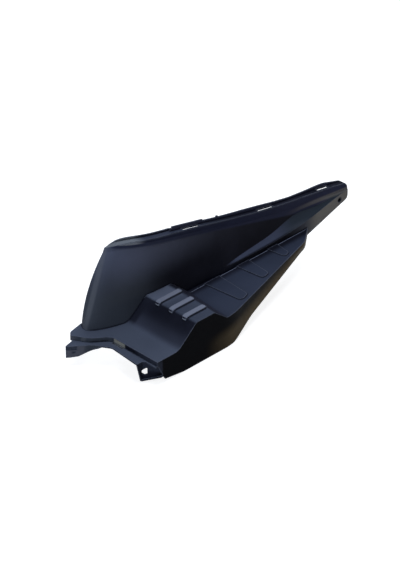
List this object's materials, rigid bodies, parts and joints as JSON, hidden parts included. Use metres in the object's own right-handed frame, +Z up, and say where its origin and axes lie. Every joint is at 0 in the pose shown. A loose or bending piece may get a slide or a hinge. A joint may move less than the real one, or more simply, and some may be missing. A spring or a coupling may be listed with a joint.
{
  "type": "scooter footboard",
  "caption": "Moulded side footboard of a scooter: foot strip with ribbed platform and raised pads, hanging skirt, and a tall inner wall folding in to the rear tip.",
  "frame": {"origin": "centre of the window in the hanging front tab, midway through its plate", "axes": "+X along the board from its front to its rear tip, +Y inward from skirt to wall, +Z up as it sits on the vehicle"},
  "size_m": [0.6731, 0.1837, 0.2025],
  "materials": {
    "shell": "fine moulded grain, satin-matt"
  },
  "bodies": {
    "root": {"footboard": "shell"}
  },
  "joints": []
}
